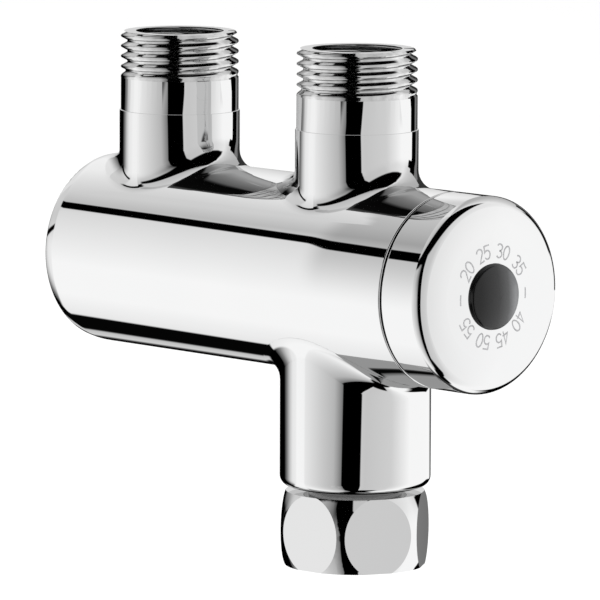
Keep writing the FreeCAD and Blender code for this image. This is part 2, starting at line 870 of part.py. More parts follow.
def control_knob():
    blank = Part.Face(Part.Wire(cap_outline())).revolve(on_axis(0), X, 360)
    hollow = tube_x(cap_bore_r, hub_r, cap_left - 1.0, cap_plate_x)
    front = rod_x(hub_r + 0.1, cap_left - 1.0, journal_end)
    body = blank.cut(hollow).cut(front)
    body = body.cut(hexagon_x(drive_af + 2.0 * fit, journal_end - 0.1, hub_floor_x))
    body = body.cut(rod_x(screw_r + 0.25, hub_floor_x - 0.1, recess_floor_x + 0.1))
    body = body.cut(rod_x(plug_r + fit, recess_floor_x, cap_apex + 1.0))
    stop = sector_x(bonnet_nose_r + 0.4, cap_bore_r + 0.5, cap_left + 0.25, cap_plate_x + 0.5, 0.0, knob_stop_half_angle)
    return body.fuse(stop)


def knob_screw():
    body = turned_x([
        (screw_tip_x, 0),
        (screw_tip_x, screw_r - 0.4),
        (screw_tip_x + 0.4, screw_r),
        (recess_floor_x, screw_r),
        (recess_floor_x, screw_head_r),
        (recess_floor_x + screw_head_t - 0.3, screw_head_r),
        (recess_floor_x + screw_head_t, screw_head_r - 0.3),
        (recess_floor_x + screw_head_t, 0),
    ])
    top = recess_floor_x + screw_head_t
    slot = Part.makeBox(1.0, 8.0, 0.9, at(top - 0.7, -4.0, axis_h - 0.45))
    cross = turn_about_barrel(slot, 90.0)
    reach = rod_x(2.2, top - 2.0, top + 2.0)
    return body.cut(slot.common(reach)).cut(cross.common(reach))


def index_plug():
    """Domed cover in the middle of the cap, with a skirt that stands in the recess."""
    face_x = dome_x + math.sqrt(dome_r ** 2 - plug_r ** 2)
    apex_x = face_x + plug_proud
    under = recess_floor_x + screw_head_t + 0.3
    bulge_r = (plug_r ** 2 + plug_bulge ** 2) / (2.0 * plug_bulge)
    bulge_x = apex_x - bulge_r
    turn = math.asin((plug_r - plug_round) / (bulge_r - plug_round))
    edge_x = bulge_x + (bulge_r - plug_round) * math.cos(turn)
    p = [
        on_axis(under),
        at(under, 0, axis_h + plug_r - plug_skirt_t),
        at(recess_floor_x, 0, axis_h + plug_r - plug_skirt_t),
        at(recess_floor_x, 0, axis_h + plug_r),
        at(edge_x, 0, axis_h + plug_r),
    ]
    edges = [Part.makeLine(p[i], p[i + 1]) for i in range(4)]
    edges.append(arc_x(edge_x, plug_r - plug_round, plug_round, math.pi / 2.0, turn))
    edges.append(arc_x(bulge_x, 0.0, bulge_r, turn, 0.0))
    edges.append(Part.makeLine(on_axis(apex_x), p[0]))
    return Part.Face(Part.Wire(edges)).revolve(on_axis(0), X, 360)


def build_all():
    save("valve_body", valve_body())
    save("union_nut", union_nut())
    save("outlet_tail", outlet_tail())
    save("tail_seal", tail_seal())
    save("outlet_washer", outlet_washer())
    for side, x in (("hot", -inlet_spacing), ("cold", 0.0)):
        save(side + "_strainer", strainer(x))
        save(side + "_check_housing", check_housing(x))
        save(side + "_check_poppet", check_poppet(x))
        save(side + "_check_spring", check_spring(x))
        save(side + "_check_seal", check_seal(x))
    save("cartridge_sleeve", cartridge_sleeve())
    save("sleeve_seals", sleeve_seals())
    save("hot_seat_ring", hot_seat_ring())
    save("shuttle", shuttle())
    save("shuttle_seals", shuttle_seals())
    save("wax_element", wax_element())
    save("wax_piston", wax_piston())
    save("return_spring", return_spring())
    save("seat_plug", seat_plug())
    save("plug_seals", plug_seals())
    save("plug_clip", plug_clip())
    save("adjuster", adjuster())
    save("overload_pad", overload_pad())
    save("overload_spring", overload_spring())
    save("spindle", spindle())
    save("spindle_seal", spindle_seal())
    save("bonnet", bonnet())
    save("control_knob", control_knob())
    save("knob_screw", knob_screw())
    save("index_plug", index_plug())


build_all()
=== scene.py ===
import json
import math

import bmesh
import bpy
from mathutils import Matrix, Vector


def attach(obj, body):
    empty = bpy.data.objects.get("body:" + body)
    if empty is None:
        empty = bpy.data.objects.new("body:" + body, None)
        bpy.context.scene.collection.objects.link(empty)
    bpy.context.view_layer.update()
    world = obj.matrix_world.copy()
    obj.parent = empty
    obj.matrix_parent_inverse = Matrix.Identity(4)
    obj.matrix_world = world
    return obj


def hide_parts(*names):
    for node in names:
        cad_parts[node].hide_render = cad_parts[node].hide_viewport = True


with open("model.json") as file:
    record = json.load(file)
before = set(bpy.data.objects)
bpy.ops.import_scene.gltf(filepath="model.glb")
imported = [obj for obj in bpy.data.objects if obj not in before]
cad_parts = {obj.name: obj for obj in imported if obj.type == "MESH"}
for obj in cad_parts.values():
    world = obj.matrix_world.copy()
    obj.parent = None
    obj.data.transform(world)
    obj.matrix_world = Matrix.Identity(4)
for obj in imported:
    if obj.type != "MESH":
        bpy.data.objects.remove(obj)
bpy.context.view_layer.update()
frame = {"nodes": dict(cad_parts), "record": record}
nodes = frame["nodes"]

# Lengths in metres. MM turns the valve's own sizes into them.
MM = 0.001


def node_box(name):
    """Lowest and highest corner of a node, which stands where it was modelled."""
    corners = [nodes[name].matrix_world @ v.co for v in nodes[name].data.vertices]
    low = Vector(min(c[i] for c in corners) for i in range(3))
    high = Vector(max(c[i] for c in corners) for i in range(3))
    return low, high


KNOB_LOW, KNOB_HIGH = node_box("control_knob")

# Sizes of the valve that the dressing needs, the same as in the part's source
AXIS_H = (KNOB_LOW.z + KNOB_HIGH.z) / 2.0
BARREL_R = (KNOB_HIGH.z - KNOB_LOW.z) / 2.0
RIM_Z = node_box("valve_body")[1].z
INLET_X = (-45.0 * MM, 0.0)
MAJOR_R = 20.955 / 2.0 * MM
MINOR_R = 18.631 / 2.0 * MM
PITCH = 1.814 * MM
RIM_CHAMFER = 0.6 * MM
THREAD_LENGTH = 8.2 * MM
THREAD_RUN_OUT = 0.8               # share of the pitch
CAP_DOME_R = 213.03 * MM
CAP_RECESS_R = 5.7 * MM
PLUG_R = 5.6 * MM
BOSS_R = 13.15 * MM
BOSS_BLEND = (3.0 * MM, 7.0 * MM)  # along the barrel, across it
BLEND_SKIN = 0.01 * MM             # keeps the blend just proud of the solid

# Points nearer than these count as one, or as on a plane or a wall
TOUCH = 1e-7
WELD = 2e-7
ON_PLANE = 1e-6
ON_WALL = 1e-5

# How surfaces shine: the cap's wall leans, and the thread's flanks are less steep
CAP_TAPER = 0.035
THREAD_SLOPE = 0.3

# Marks on the cap face
MARK_RING_R = 7.85 * MM
MARK_LIFT = 0.012 * MM
DIGIT_H = 2.35 * MM
DIGIT_GAP = 0.17                   # share of the digit's height
NUMBER_GAP = 1.75 * MM
STROKE_W = 0.27 * MM
DASH_L = 1.9 * MM

# Camera, fitted to the outlines in the photograph
IMAGE_PX = 600.0
FOCAL_PX = 6500.0
SENSOR_MM = 36.0
CAMERA_AZ = 46.03
CAMERA_EL = 7.56
CAMERA_ROLL = 0.23
CAMERA_DIST = 66.29 * BARREL_R
CAMERA_RIGHT = -0.5726 * BARREL_R
CAMERA_UP = -0.2241 * BARREL_R

# Floor and lamp
FLOOR_HALF = 6.0
FLOOR_Z = -0.12
FLOOR_LIFT = 0.12                  # makes the lit floor white to the camera
LAMP_SIZE = 1.2
LAMP_ENERGY = 9.0
LAMP_PLACE = (0.35, -0.5, 1.3)

# Dark cards on the right: name, first and last azimuth, and brightness as shown
DARK_CARDS = (
    ("card_black", 81.0, 99.5, 0.0),
    ("card_grey", 99.5, 112.0, 120.0),
    ("card_dark", 112.0, 134.0, 50.0),
)
CARD_DIST = 3.0
CARD_LOW = 7.7                     # degrees below the lens's level
CARD_HIGH = 22.0

# The studio as polished metal mirrors it. Angles are in degrees, azimuths from the
# barrel's own direction, and brightness is from 0 to 255 as metal shows it. The walls
# are graded: rings of (azimuth, brightness), one low and one high. Their stops are set
# in round numbers, after the photo's brightness in the directions mirrored.
CHROME_TINT = 0.93
AMBIENT = 0.9                      # what dull surfaces are lit by
LEVEL_WALLS = (
    (-180.0, 45.0), (-172.0, 125.0), (-164.0, 195.0), (-156.0, 230.0), (-140.0, 240.0),
    (-80.0, 180.0), (-66.0, 110.0), (-38.0, 200.0), (-30.0, 195.0), (12.0, 205.0),
    (48.0, 245.0), (112.0, 245.0), (115.0, 100.0), (130.0, 50.0), (141.0, 60.0),
    (172.0, 30.0), (180.0, 45.0),
)
HIGH_WALLS = (
    (-180.0, 205.0), (-140.0, 195.0), (-108.0, 185.0), (-84.0, 130.0), (-76.0, 60.0),
    (-66.0, 10.0), (-52.0, 120.0), (-46.0, 190.0), (0.0, 195.0), (16.0, 210.0),
    (56.0, 230.0), (72.0, 205.0), (110.0, 175.0), (135.0, 170.0), (150.0, 225.0),
    (180.0, 220.0),
)
WALL_RISE = (-4.0, 22.0)           # elevations between which low turns into high

# Boxes of directions: middle azimuth, how far from it the box starts to fade and
# ends on either side, then the same three for the elevation. The pale panel above the
# far wall is mirrored by the flat rims of the inlets. The rest are dark flags.
PANEL = (138.0, 6.0, 12.0, 9.0, 5.0, 7.0)
PANEL_LEVEL = 226.0
BOX_FLAGS = (
    (160.0, 17.0, 21.0, -11.0, 11.0, 14.0),
    (92.0, 19.0, 22.0, 7.0, 7.0, 9.0),
    (-24.0, 28.0, 34.0, -90.0, 29.0, 34.0),
)

# Flags with leaning edges: each edge is a line through two points, and the soft part
# is how far it fades on either side. Pairs are where an edge starts and ends to fade.
UPRIGHT_LEFT = (-5.0, -66.5, 25.0, -76.0)
UPRIGHT_RIGHT = (-2.0, -37.0, 24.0, -48.0)
UPRIGHT_SOFT = 0.8
OVERHEAD_UNDER = (-132.0, 21.5, -92.0, 32.0)
OVERHEAD_UPPER = (-142.0, 20.5, -78.0, 76.0)
OVERHEAD_SOFT = 2.0
HEM_MIDDLE = (-176.0, -2.0, -132.0, 23.0)
HEM_HALF = (1.5, 3.5)
HEM_END = (-136.0, -128.0)
RIGHT_TOP = (60.0, -56.0, 96.0, -12.2)
RIGHT_SOFT = 1.0
RIGHT_START = (25.0, 45.0)
RIGHT_FOOT = (-56.0, -44.0)
FRONT_FOOT = (35.0, 40.0)
FRONT_MIDDLE = -2.0
FRONT_HALF = (52.0, 60.0)
NADIR = (10.0, 14.0)               # degrees from straight down

# What the barrel and the cap's wall mirror, by the angle about their axis, and above
# them a flag that isn't quite parallel. SIDEWAYS is how far a ray goes along the axis.
ALONG_BARREL = (
    (-180.0, 195.0), (-171.0, 170.0), (-166.0, 5.0), (-151.0, 5.0), (-147.0, 35.0),
    (-143.0, 115.0), (-139.0, 205.0), (-126.0, 190.0), (-122.0, 5.0), (-94.0, 5.0),
    (-92.0, 230.0), (-60.0, 245.0), (-20.0, 245.0), (44.0, 215.0), (57.0, 185.0),
    (72.0, 205.0), (110.0, 235.0), (140.0, 240.0), (180.0, 200.0),
)
SIDEWAYS_LEFT = (-0.84, -0.80)
SIDEWAYS_RIGHT = (-0.64, -0.60)
SIDEWAYS_CAP = (-0.680, -0.672)
SIDEWAYS_BARREL = 0.706
BAR_MIDDLE = 49.0
BAR_HALF = (3.7, 5.0)
BAR_SKEW = 70.0
CAP_BAR_LOWER = 3.0
CAP_BAR_WIDER = 1.1
CAP_SHADE = 0.28
CAP_SHADE_RISE = (-20.0, 42.0)

# What metal mirrors of other metal: low down, at level and high up
LOW_AGAIN = (
    (-180.0, 150.0), (-78.0, 150.0), (-70.0, 60.0), (-62.0, 5.0), (-45.0, 5.0),
    (-38.0, 90.0), (-20.0, 150.0),
)
LEVEL_AGAIN = 192.0
HIGH_AGAIN = (
    (-180.0, 95.0), (-150.0, 65.0), (-125.0, 10.0), (-50.0, 5.0), (-42.0, 45.0),
    (-30.0, 90.0), (12.0, 120.0), (60.0, 160.0), (90.0, 160.0), (110.0, 130.0),
    (180.0, 95.0),
)
LOW_RISE = (-22.0, -13.0)
HIGH_RISE = (0.0, 24.0)
WORLD_TWICE = 2.5                  # ray depth beyond which metal mirrors other metal
CARD_TWICE = 1.5                   # the same where the ray ends on a card


# Node helpers

def new_nodes(tree):
    """Empties a node tree and returns what adds its nodes and links."""
    tree.nodes.clear()
    return tree.nodes.new, tree.links.new


def math_node(tree, operation, a, b=None, clamp=False):
    """A Math node whose inputs are sockets or numbers."""
    node = tree.nodes.new("ShaderNodeMath")
    node.operation = operation
    node.use_clamp = clamp
    for i, value in enumerate((a, b)):
        if value is None:
            continue
        if isinstance(value, (int, float)):
            node.inputs[i].default_value = value
        else:
            tree.links.new(value, node.inputs[i])
    return node.outputs[0]


def shown(value):
    """Light level that shows as this brightness, from 0 to 255, in the picture."""
    v = value / 255.0
    return v / 12.92 if v <= 0.04045 else ((v + 0.055) / 1.055) ** 2.4


def ring_ramp(tree, degrees, stops):
    """Brightness round a circle of directions, from stops of (degrees, brightness)."""
    ramp = tree.nodes.new("ShaderNodeValToRGB")
    ramp.color_ramp.interpolation = "LINEAR"
    marks = ramp.color_ramp.elements
    while len(marks) > 1:
        marks.remove(marks[-1])
    for i, (angle, level) in enumerate(stops):
        place = (angle + 180.0) / 360.0
        mark = marks[0] if i == 0 else marks.new(place)
        mark.position = place
        grey = shown(level) / CHROME_TINT
        mark.color = (grey, grey, grey, 1.0)
    turn = math_node(tree, "MULTIPLY_ADD", degrees, 1.0 / 360.0)
    turn.node.inputs[2].default_value = 0.5
    tree.links.new(turn, ramp.inputs[0])
    return ramp.outputs[0]


def soft_step(tree, value, low, high):
    """0 below low, 1 above high."""
    node = tree.nodes.new("ShaderNodeMapRange")
    node.interpolation_type = "SMOOTHSTEP"
    tree.links.new(value, node.inputs[0])
    node.inputs[1].default_value = low
    node.inputs[2].default_value = high
    return node.outputs[0]


def soft_drop(tree, value, low, high):
    """1 below low, 0 above high."""
    return math_node(tree, "SUBTRACT", 1.0, soft_step(tree, value, low, high))


def beyond_line(tree, value, along, low, at_low, high, at_high):
    """How far a value is past a line through two points, level beyond them."""
    node = tree.nodes.new("ShaderNodeMapRange")
    tree.links.new(along, node.inputs[0])
    for i, number in enumerate((low, high, at_low, at_high)):
        node.inputs[i + 1].default_value = number
    return math_node(tree, "SUBTRACT", value, node.outputs[0])


def distance(tree, value, middle):
    """How far a value is from a middle, either way."""
    return math_node(tree, "ABSOLUTE", math_node(tree, "SUBTRACT", value, middle))


def turn_from(tree, degrees, middle):
    """Angle from a middle direction, either way round, up to 180."""
    node = math_node(tree, "WRAP", math_node(tree, "SUBTRACT", degrees, middle), 180.0)
    node.node.inputs[2].default_value = -180.0
    return math_node(tree, "ABSOLUTE", node)


def box(tree, azimuth, elevation, corners):
    """1 inside a box of directions, 0 outside it."""
    across, across_in, across_out, height, height_in, height_out = corners
    width = soft_drop(tree, turn_from(tree, azimuth, across), across_in, across_out)
    rise = soft_drop(tree, distance(tree, elevation, height), height_in, height_out)
    return math_node(tree, "MULTIPLY", width, rise)


def blend(tree, share, first, second):
    """Mix of two colours, each a socket or a grey."""
    node = tree.nodes.new("ShaderNodeMix")
    node.data_type = "RGBA"
    tree.links.new(share, node.inputs[0])
    for socket, value in ((node.inputs[6], first), (node.inputs[7], second)):
        if isinstance(value, float):
            socket.default_value = (value, value, value, 1.0)
        else:
            tree.links.new(value, socket)
    return node.outputs[2]


def dimmed(tree, color, share):
    """A colour times a share of its light."""
    node = tree.nodes.new("ShaderNodeVectorMath")
    node.operation = "SCALE"
    tree.links.new(color, node.inputs[0])
    tree.links.new(share, node.inputs["Scale"])
    return node.outputs[0]


# World: white to the camera, plain light on dull surfaces, and for polished ones
# a white studio with dark flags

def flags(tree, azimuth, elevation):
    """1 where a dark flag hangs, 0 elsewhere."""
    right = beyond_line(tree, azimuth, elevation, *UPRIGHT_RIGHT)
    left = beyond_line(tree, azimuth, elevation, *UPRIGHT_LEFT)
    left_of_edge = soft_drop(tree, right, -UPRIGHT_SOFT, UPRIGHT_SOFT)
    upright = math_node(tree, "MULTIPLY", left_of_edge, soft_step(tree, left, -UPRIGHT_SOFT, UPRIGHT_SOFT))

    # overhead, growing wider towards the upright one
    under = beyond_line(tree, elevation, azimuth, *OVERHEAD_UNDER)
    upper = beyond_line(tree, elevation, azimuth, *OVERHEAD_UPPER)
    overhead = math_node(tree, "SUBTRACT", soft_step(tree, under, -OVERHEAD_SOFT, OVERHEAD_SOFT),
                         soft_step(tree, upper, -OVERHEAD_SOFT, OVERHEAD_SOFT), clamp=True)
    overhead = math_node(tree, "MULTIPLY", overhead, left_of_edge)

    # its narrow hem, which runs down on the left
    from_hem = math_node(tree, "ABSOLUTE", beyond_line(tree, elevation, azimuth, *HEM_MIDDLE))
    hem = math_node(tree, "SUBTRACT", soft_drop(tree, from_hem, *HEM_HALF),
                    soft_step(tree, azimuth, *HEM_END), clamp=True)

    # high in front, low on the right, and straight below
    front = math_node(tree, "MULTIPLY", soft_step(tree, elevation, *FRONT_FOOT),
                      soft_drop(tree, distance(tree, azimuth, FRONT_MIDDLE), *FRONT_HALF))
    from_top = beyond_line(tree, elevation, azimuth, *RIGHT_TOP)
    low_right = math_node(tree, "MULTIPLY", soft_drop(tree, from_top, -RIGHT_SOFT, RIGHT_SOFT),
                          soft_step(tree, azimuth, *RIGHT_START))
    low_right = math_node(tree, "MULTIPLY", low_right, soft_step(tree, elevation, *RIGHT_FOOT))
    nadir = soft_drop(tree, distance(tree, elevation, -90.0), *NADIR)

    dark = upright
    for flag in (overhead, hem, front, low_right, nadir):
        dark = math_node(tree, "MAXIMUM", dark, flag)
    for corners in BOX_FLAGS:
        dark = math_node(tree, "MAXIMUM", dark, box(tree, azimuth, elevation, corners))
    return dark


def barrel_surroundings(tree, sideways, around):
    """What the barrel and the cap's wall mirror, with the flag above them."""
    on_cap = soft_step(tree, sideways, *SIDEWAYS_CAP)
    skew = math_node(tree, "MULTIPLY", math_node(tree, "ADD", sideways, SIDEWAYS_BARREL), BAR_SKEW)
    skewed = math_node(tree, "ADD", around, skew)
    lowered = math_node(tree, "ADD", skewed, math_node(tree, "MULTIPLY", on_cap, CAP_BAR_LOWER))
    from_bar = math_node(tree, "SUBTRACT", distance(tree, lowered, BAR_MIDDLE),
                         math_node(tree, "MULTIPLY", on_cap, CAP_BAR_WIDER))
    shade = math_node(tree, "MULTIPLY", soft_step(tree, around, *CAP_SHADE_RISE), CAP_SHADE)
    shade = math_node(tree, "MULTIPLY", on_cap, shade)
    level = math_node(tree, "MULTIPLY", soft_step(tree, from_bar, *BAR_HALF),
                      math_node(tree, "SUBTRACT", 1.0, shade))
    return dimmed(tree, ring_ramp(tree, around, ALONG_BARREL), level)


def build_world():
    world = bpy.data.worlds.new("studio")
    bpy.context.scene.world = world
    world.use_nodes = True
    tree = world.node_tree
    add, link = new_nodes(tree)
    coords = add("ShaderNodeTexCoord")
    split = add("ShaderNodeSeparateXYZ")
    link(coords.outputs["Generated"], split.inputs[0])
    dx, dy, dz = split.outputs
    to_deg = math.degrees(1.0)
    azimuth = math_node(tree, "MULTIPLY", math_node(tree, "ARCTAN2", dy, dx), to_deg)
    elevation = math_node(tree, "MULTIPLY", math_node(tree, "ARCSINE", dz), to_deg)
    minus_y = math_node(tree, "MULTIPLY", dy, -1.0)
    around = math_node(tree, "MULTIPLY", math_node(tree, "ARCTAN2", dz, minus_y), to_deg)

    walls = blend(tree, soft_step(tree, elevation, *WALL_RISE), ring_ramp(tree, azimuth, LEVEL_WALLS),
                  ring_ramp(tree, azimuth, HIGH_WALLS))
    walls = blend(tree, box(tree, azimuth, elevation, PANEL), walls, shown(PANEL_LEVEL))
    lit = math_node(tree, "SUBTRACT", 1.0, flags(tree, azimuth, elevation))
    studio = dimmed(tree, walls, lit)
    off_barrel = math_node(tree, "MAXIMUM", soft_step(tree, dx, *SIDEWAYS_RIGHT),
                           soft_drop(tree, dx, *SIDEWAYS_LEFT))
    studio = blend(tree, off_barrel, barrel_surroundings(tree, dx, around), studio)

    low = blend(tree, soft_step(tree, elevation, *LOW_RISE), ring_ramp(tree, azimuth, LOW_AGAIN),
                shown(LEVEL_AGAIN) / CHROME_TINT)
    again = blend(tree, soft_step(tree, elevation, *HIGH_RISE), low, ring_ramp(tree, azimuth, HIGH_AGAIN))
    path = add("ShaderNodeLightPath")
    twice = math_node(tree, "GREATER_THAN", path.outputs["Ray Depth"], WORLD_TWICE)
    mirrored = blend(tree, twice, studio, again)
    lighting = blend(tree, path.outputs["Is Glossy Ray"], AMBIENT, mirrored)
    background = add("ShaderNodeBackground")
    link(blend(tree, path.outputs["Is Camera Ray"], lighting, 1.0), background.inputs[0])
    out = add("ShaderNodeOutputWorld")
    link(background.outputs[0], out.inputs[0])


# Materials

def principled(name, color, metallic=0.0, roughness=0.4):
    mat = bpy.data.materials.new(name)
    mat.use_nodes = True
    add, link = new_nodes(mat.node_tree)
    shader = add("ShaderNodeBsdfPrincipled")
    shader.inputs["Base Color"].default_value = (*color, 1.0)
    shader.inputs["Metallic"].default_value = metallic
    shader.inputs["Roughness"].default_value = roughness
    out = add("ShaderNodeOutputMaterial")
    link(shader.outputs[0], out.inputs[0])
    return mat, shader


def noise(tree, scale, detail=3.0, stretch=(1.0, 1.0, 1.0)):
    """Noise in object space, with scale in repeats per metre."""
    coords = tree.nodes.new("ShaderNodeTexCoord")
    mapping = tree.nodes.new("ShaderNodeMapping")
    mapping.inputs["Scale"].default_value = stretch
    tree.links.new(coords.outputs["Object"], mapping.inputs[0])
    node = tree.nodes.new("ShaderNodeTexNoise")
    node.inputs["Scale"].default_value = scale
    node.inputs["Detail"].default_value = detail
    tree.links.new(mapping.outputs[0], node.inputs[0])
    return node.outputs[0]


def vary(mat, shader, socket, value, low, high):
    """Drives one shader socket by a 0 to 1 value, between two levels."""
    tree = mat.node_tree
    span = tree.nodes.new("ShaderNodeMapRange")
    tree.links.new(value, span.inputs[0])
    span.inputs[1].default_value = 0.3
    span.inputs[2].default_value = 0.7
    span.inputs[3].default_value = low
    span.inputs[4].default_value = high
    tree.links.new(span.outputs[0], shader.inputs[socket])


def tint(mat, shader, value, dark, light):
    """Colour between two shades by a 0 to 1 value."""
    tree = mat.node_tree
    ramp = tree.nodes.new("ShaderNodeValToRGB")
    ramp.color_ramp.elements[0].position = 0.3
    ramp.color_ramp.elements[0].color = (*dark, 1.0)
    ramp.color_ramp.elements[1].position = 0.7
    ramp.color_ramp.elements[1].color = (*light, 1.0)
    tree.links.new(value, ramp.inputs[0])
    tree.links.new(ramp.outputs[0], shader.inputs["Base Color"])


def bump(mat, shader, height, depth, strength=1.0):
    """Raises and lowers the surface's shading by a height, over a depth in metres."""
    tree = mat.node_tree
    node = tree.nodes.new("ShaderNodeBump")
    node.inputs["Strength"].default_value = strength
    node.inputs["Distance"].default_value = depth
    tree.links.new(height, node.inputs["Height"])
    tree.links.new(node.outputs[0], shader.inputs["Normal"])


def chrome_material():
    """Bright plating, with a faint, uneven haze in its gloss and tone."""
    mat, shader = principled("chrome", (0.93, 0.93, 0.93), 1.0, 0.02)
    tree = mat.node_tree
    haze = noise(tree, 90.0, 4.0)
    vary(mat, shader, "Roughness", haze, 0.008, 0.022)
    tint(mat, shader, noise(tree, 40.0, 2.0), (0.925, 0.928, 0.93), (0.94, 0.94, 0.94))
    return mat


def shade_normal(tree, shader, operation, vector):
    """Shades a surface by its normal after a sum or product with a vector."""
    surface = tree.nodes.new("ShaderNodeNewGeometry")
    changed = tree.nodes.new("ShaderNodeVectorMath")
    changed.operation = operation
    tree.links.new(surface.outputs["Normal"], changed.inputs[0])
    changed.inputs[1].default_value = vector
    unit = tree.nodes.new("ShaderNodeVectorMath")
    unit.operation = "NORMALIZE"
    tree.links.new(changed.outputs[0], unit.inputs[0])
    tree.links.new(unit.outputs[0], shader.inputs["Normal"])


def cap_material():
    """The same plating on the cap, whose wall shines as if it tapered a little."""
    mat = chrome_material()
    mat.name = "cap_chrome"
    shader = next(n for n in mat.node_tree.nodes if n.type == "BSDF_PRINCIPLED")
    shade_normal(mat.node_tree, shader, "ADD", (CAP_TAPER, 0.0, 0.0))
    return mat


def machined_material(name, dark, light, rough):
    """Turned metal with fine tool marks."""
    mat, shader = principled(name, light, 1.0, rough)
    tree = mat.node_tree
    tint(mat, shader, noise(tree, 160.0, 3.0), dark, light)
    vary(mat, shader, "Roughness", noise(tree, 400.0), rough * 0.8, rough * 1.25)
    bump(mat, shader, noise(tree, 900.0, 2.0, (4.0, 1.0, 1.0)), 0.00002, 0.3)
    return mat


def moulded_material(name, dark, light, rough):
    """Moulded plastic or rubber with a fine skin texture."""
    mat, shader = principled(name, light, 0.0, rough)
    tree = mat.node_tree
    tint(mat, shader, noise(tree, 120.0, 3.0), dark, light)
    vary(mat, shader, "Roughness", noise(tree, 700.0), rough * 0.85, rough * 1.15)
    bump(mat, shader, noise(tree, 2500.0, 2.0), 0.00001, 0.25)
    return mat


def plug_material():
    """Glossy dark plastic of the index plug, with a painted reflection: greyer towards one side."""
    mat, shader = principled("plug_plastic", (0.01, 0.01, 0.011), 0.0, 0.16)
    tree = mat.node_tree
    coords = tree.nodes.new("ShaderNodeTexCoord")
    split = tree.nodes.new("ShaderNodeSeparateXYZ")
    tree.links.new(coords.outputs["Object"], split.inputs[0])
    across = tree.nodes.new("ShaderNodeMapRange")
    tree.links.new(split.outputs["Y"], across.inputs[0])
    across.inputs[1].default_value = -PLUG_R
    across.inputs[2].default_value = PLUG_R
    grain = math_node(tree, "MULTIPLY", noise(tree, 500.0, 2.0), 0.04)
    # Painted reflection: the base colour runs from near black to grey across the plug, with random grain on
    # top
    ramp = tree.nodes.new("ShaderNodeValToRGB")
    marks = ramp.color_ramp.elements
    marks[0].position = 0.0
    marks[0].color = (0.002, 0.002, 0.002, 1.0)
    marks[1].position = 1.0
    marks[1].color = (0.20, 0.205, 0.21, 1.0)
    for place, grey in ((0.16, 0.003), (0.5, 0.018), (0.72, 0.06), (0.9, 0.20)):
        marks.new(place).color = (grey, grey * 1.02, grey * 1.05, 1.0)
    tree.links.new(math_node(tree, "ADD", across.outputs[0], grain), ramp.inputs[0])
    tree.links.new(ramp.outputs[0], shader.inputs["Base Color"])
    vary(mat, shader, "Roughness", noise(tree, 500.0), 0.13, 0.2)
    return mat


def thread_material():
    """Plating on cut threads: duller, less even, and filling the grooves a little."""
    mat, shader = principled("thread_chrome", (0.8, 0.8, 0.8), 1.0, 0.08)
    tree = mat.node_tree
    tint(mat, shader, noise(tree, 700.0, 3.0), (0.70, 0.70, 0.70), (0.92, 0.92, 0.92))
    vary(mat, shader, "Roughness", noise(tree, 1500.0), 0.04, 0.1)
    shade_normal(tree, shader, "MULTIPLY", (1.0, 1.0, THREAD_SLOPE))
    return mat


def neck_material():
    """Dark grey metal of the neck between the boss and the nut, darker than the plating beside it."""
    mat, shader = principled("neck_metal", (0.3, 0.3, 0.3), 1.0, 0.12)
    tree = mat.node_tree
    tint(mat, shader, noise(tree, 160.0, 3.0), (0.26, 0.26, 0.26), (0.33, 0.33, 0.33))
    vary(mat, shader, "Roughness", noise(tree, 400.0), 0.1, 0.16)
    return mat


def etched_material():
    """Laser-etched marks: grey, matt metal."""
    mat, shader = principled("etched_mark", (0.5, 0.5, 0.5), 0.3, 0.6)
    tree = mat.node_tree
    tint(mat, shader, noise(tree, 3000.0, 2.0), (0.42, 0.42, 0.43), (0.56, 0.56, 0.57))
    return mat


def build_materials():
    return {
        "chrome_plate": chrome_material(),
        "cap_chrome": cap_material(),
        "thread_chrome": thread_material(),
        "neck_metal": neck_material(),
        "plug_plastic": plug_material(),
        "brass": machined_material("turned_brass", (0.66, 0.47, 0.20), (0.80, 0.60, 0.28), 0.24),
        "moulding": moulded_material(
            "engineering_plastic", (0.020, 0.021, 0.023), (0.030, 0.031, 0.033), 0.45),
        "check_plastic": moulded_material("white_acetal", (0.72, 0.72, 0.69), (0.80, 0.80, 0.77), 0.38),
        "steel": machined_material("stainless_steel", (0.50, 0.51, 0.52), (0.62, 0.63, 0.64), 0.26),
        "spring_steel": machined_material("spring_wire", (0.42, 0.43, 0.45), (0.55, 0.56, 0.58), 0.3),
        "seal_rubber": moulded_material("black_rubber", (0.010, 0.010, 0.010), (0.018, 0.018, 0.018), 0.55),
        "washer_fibre": moulded_material("red_fibre", (0.22, 0.035, 0.02), (0.32, 0.06, 0.035), 0.8),
        "wax_copper": machined_material("copper_cup", (0.60, 0.30, 0.20), (0.75, 0.42, 0.30), 0.25),
        "etched": etched_material(),
    }


def paint(obj, mat):
    obj.data.materials.clear()
    obj.data.materials.append(mat)


# Meshes

def add_object(name, mesh, body, mat):
    obj = bpy.data.objects.new(name, mesh)
    bpy.context.scene.collection.objects.link(obj)
    paint(obj, mat)
    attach(obj, body)
    return obj


def thread_depth(phase):
    """Depth of a pipe thread at a share of its pitch, 0 at a crest's middle."""
    full = MAJOR_R - MINOR_R
    flank = math.radians(27.5)
    rounding = 0.137329 * PITCH
    arc_end = rounding * math.cos(flank)
    off = abs((phase + 0.5) % 1.0 - 0.5) * PITCH
    if off < arc_end:
        return rounding - math.sqrt(rounding ** 2 - off ** 2)
    if off > PITCH / 2.0 - arc_end:
        return full - rounding + math.sqrt(rounding ** 2 - (PITCH / 2.0 - off) ** 2)
    return full / 2.0 + (off - PITCH / 4.0) / math.tan(flank)


